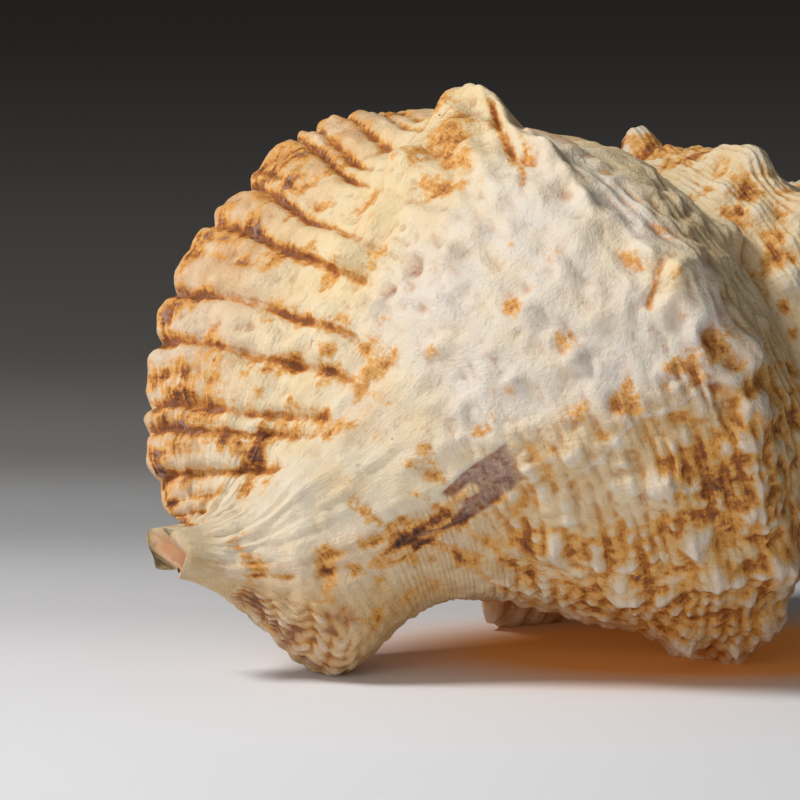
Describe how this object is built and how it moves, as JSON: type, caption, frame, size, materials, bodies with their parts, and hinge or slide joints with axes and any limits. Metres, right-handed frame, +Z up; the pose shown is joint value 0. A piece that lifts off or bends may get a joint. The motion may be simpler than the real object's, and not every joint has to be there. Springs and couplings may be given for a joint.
{
  "type": "murex shell",
  "caption": "Large spiral sea shell with a flared, fluted lip over an open mouth, knobbed shoulders, a tall spire and a short open canal.",
  "frame": {"origin": "middle of the bounding box, at the height of the surface the shell lies on", "axes": "+Z up from that surface, +X roughly towards the spire's tip, -Y towards the viewer of the picture, who sees the shell's back"},
  "size_m": [0.186, 0.1046, 0.1105],
  "materials": {
    "shell": "matte, chalky on the back, smoother inside the mouth"
  },
  "bodies": {
    "root": {"shell": "shell"}
  },
  "joints": []
}
